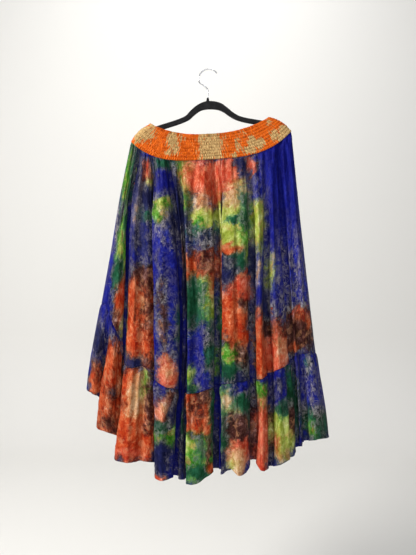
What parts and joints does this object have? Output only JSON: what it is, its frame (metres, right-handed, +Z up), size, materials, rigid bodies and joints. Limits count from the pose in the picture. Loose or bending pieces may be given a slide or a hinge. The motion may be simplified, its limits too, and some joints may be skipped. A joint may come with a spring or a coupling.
{
  "type": "sari skirt on a hanger",
  "caption": "Long flared skirt with a shirred elastic waistband, deep hanging folds and a gathered bottom ruffle, held by a slim hanger with a wire hook.",
  "frame": {"origin": "the highest point inside the hook of the hanger, where a rail carries it", "axes": "+Z up along the hanging garment, +X to the right of the viewer, -Y out of the front of the skirt"},
  "size_m": [0.659, 0.1638, 1.0864],
  "materials": {
    "crumple_dyed_cloth": "thin crinkled silk, crumple dyed in blue, green, orange and tan, soft sheen",
    "ruffle_cloth": "the same dyed silk, gathered",
    "shirred_cloth": "orange and tan print, shirred on elastic",
    "black_flock": "velvet flocking",
    "hook_wire": "polished wire"
  },
  "bodies": {
    "root": {"waistband_front": "shirred_cloth", "waistband_back": "shirred_cloth", "skirt_front": "crumple_dyed_cloth", "skirt_back": "crumple_dyed_cloth", "ruffle_front": "ruffle_cloth", "ruffle_back": "ruffle_cloth", "hanger_body": "black_flock", "hanger_hook": "hook_wire"}
  },
  "joints": []
}
